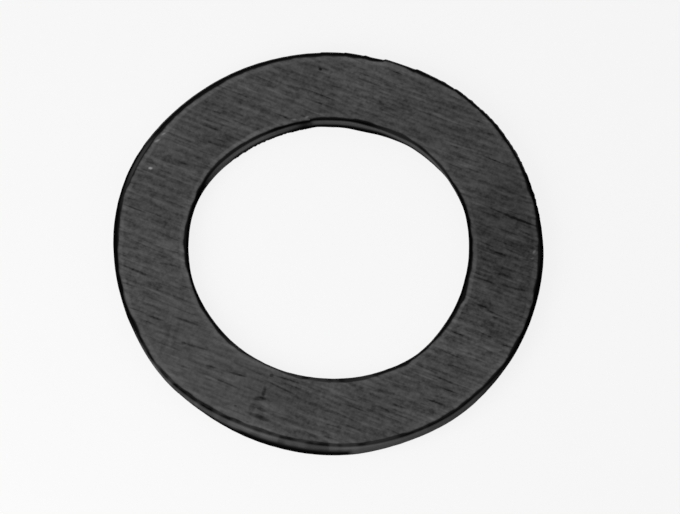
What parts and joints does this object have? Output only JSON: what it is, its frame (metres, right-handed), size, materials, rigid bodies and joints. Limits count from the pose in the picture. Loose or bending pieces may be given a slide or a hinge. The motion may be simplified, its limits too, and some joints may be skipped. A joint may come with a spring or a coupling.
{
  "type": "rubber sealing ring",
  "caption": "Flat black rubber ring with a rectangular section and rounded edges, squeezed between two faces to seal a pipe joint.",
  "frame": {"origin": "middle of the back face, on the ring's axis, in the plane that the ring lies on", "axes": "+Z along the ring's axis, from the back face to the front face; the streaks on the faces run about 17 degrees clockwise of +X"},
  "size_m": [0.06, 0.06, 0.003],
  "materials": {
    "black_rubber": "matt black rubber, faces finely streaked in one direction, smooth darker edges"
  },
  "bodies": {
    "root": {"sealing_ring": "black_rubber"}
  },
  "joints": []
}
